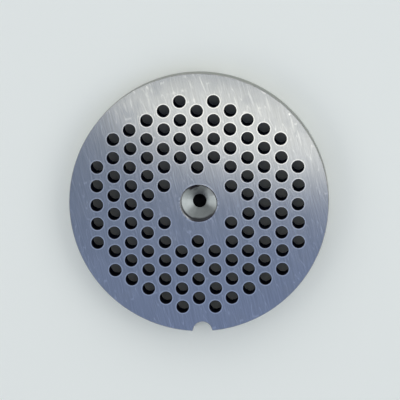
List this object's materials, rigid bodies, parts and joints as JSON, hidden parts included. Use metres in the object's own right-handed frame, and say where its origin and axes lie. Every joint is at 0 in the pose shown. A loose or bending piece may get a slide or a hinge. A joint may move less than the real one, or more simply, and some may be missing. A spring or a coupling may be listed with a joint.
{
  "type": "meat grinder plate",
  "caption": "Round steel cutting plate with drilled cutting holes, a blind pin socket at its centre and a half-round locating notch in its rim.",
  "frame": {"origin": "centre of the back face, on the axis of the disc", "axes": "+Z along the disc's axis and out of the cutting face, through which the pin socket opens; the locating notch lies towards -Y"},
  "size_m": [0.062, 0.0619, 0.006],
  "materials": {
    "ground_steel": "ground"
  },
  "bodies": {
    "root": {"cutting_plate": "ground_steel"}
  },
  "joints": []
}
